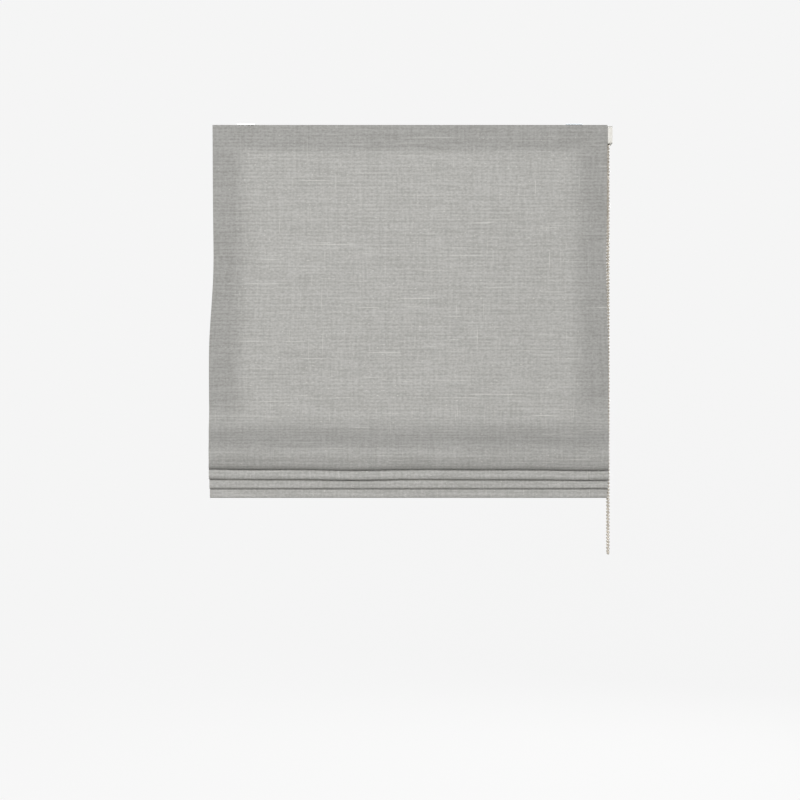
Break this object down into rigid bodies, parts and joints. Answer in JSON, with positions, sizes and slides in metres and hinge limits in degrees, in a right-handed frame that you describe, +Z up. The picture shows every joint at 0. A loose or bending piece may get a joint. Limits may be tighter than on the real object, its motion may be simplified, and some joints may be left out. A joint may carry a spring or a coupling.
{
  "type": "roman blind",
  "caption": "Chain-operated roman blind, part raised: flat cloth panel with stacked soft folds, lining, rods and cords under a rail with brackets.",
  "frame": {"origin": "centre of the four top screw holes of the two brackets, on the fixing plane", "axes": "+X along the width, to the right seen from the room, +Y towards the window, +Z up"},
  "size_m": [0.7296, 0.078, 0.7873],
  "materials": {
    "aluminium_rail": "satin",
    "spring_steel": "satin",
    "shaft_steel": "satin",
    "white_nylon": "matte",
    "grey_acetal": "matte",
    "clear_plastic": "gloss",
    "hook_tape": "matte",
    "face_cloth": "matte",
    "lining_cloth": "matte",
    "tape_cloth": "matte",
    "cord_polyester": "matte",
    "fibreglass": "matte",
    "nickel_chain": "satin"
  },
  "bodies": {
    "rail": {"headrail": "aluminium_rail", "bracket_left": "spring_steel", "bracket_right": "spring_steel", "hook_strip": "hook_tape", "loop_strip": "hook_tape", "idle_end_cap": "white_nylon", "control_housing": "white_nylon", "control_cover": "white_nylon", "cradle_left": "white_nylon", "cradle_centre": "white_nylon", "cradle_right": "white_nylon", "lift_cord_left": "cord_polyester", "lift_cord_centre": "cord_polyester", "lift_cord_right": "cord_polyester", "face_fabric": "face_cloth", "lining": "lining_cloth", "bead_chain": "nickel_chain", "chain_connector": "nickel_chain"},
    "drive": {"drive_shaft": "shaft_steel", "chain_wheel": "grey_acetal", "end_bush": "grey_acetal", "spool_left": "white_nylon", "spool_centre": "white_nylon", "spool_right": "white_nylon"},
    "stack": {"rod_3": "fibreglass", "rod_tape_3": "tape_cloth", "cord_rings_3": "clear_plastic", "rod_4": "fibreglass", "rod_tape_4": "tape_cloth", "cord_rings_4": "clear_plastic", "rod_5": "fibreglass", "rod_tape_5": "tape_cloth", "cord_rings_5": "clear_plastic", "rod_6": "fibreglass", "rod_tape_6": "tape_cloth", "cord_rings_6": "clear_plastic", "bottom_bar": "aluminium_rail", "cord_stops": "clear_plastic"},
    "rod_two": {"rod_2": "fibreglass", "rod_tape_2": "tape_cloth", "cord_rings_2": "clear_plastic"},
    "rod_one": {"rod_1": "fibreglass", "rod_tape_1": "tape_cloth", "cord_rings_1": "clear_plastic"}
  },
  "joints": [
    {"name": "lift", "type": "slide", "parent": "rail", "child": "stack", "axis": [0, 0, 1], "range_m": [-0.54978, 0.43982], "deforming": ["face_fabric", "lining", "lift_cord_left", "lift_cord_centre", "lift_cord_right"]},
    {"name": "rod_two_lift", "type": "slide", "parent": "rail", "child": "rod_two", "axis": [0, 0, 1], "range_m": [-0.31624, 0.25309]},
    {"name": "rod_one_lift", "type": "slide", "parent": "rail", "child": "rod_one", "axis": [0, 0, 1], "range_m": [-0.08225, 0.0659]},
    {"name": "drive_turn", "type": "hinge", "parent": "rail", "child": "drive", "pos_m": [0, 0.0045, -0.02], "axis": [1, 0, 0], "range_deg": [-3605, 4505], "deforming": ["bead_chain"]}
  ],
  "couplings": [
    {"joint": "rod_two_lift", "follows": "lift", "ratio": 0.5743},
    {"joint": "rod_one_lift", "follows": "lift", "ratio": 0.1487},
    {"joint": "drive_turn", "follows": "lift", "rad_per_m": -142.86}
  ]
}
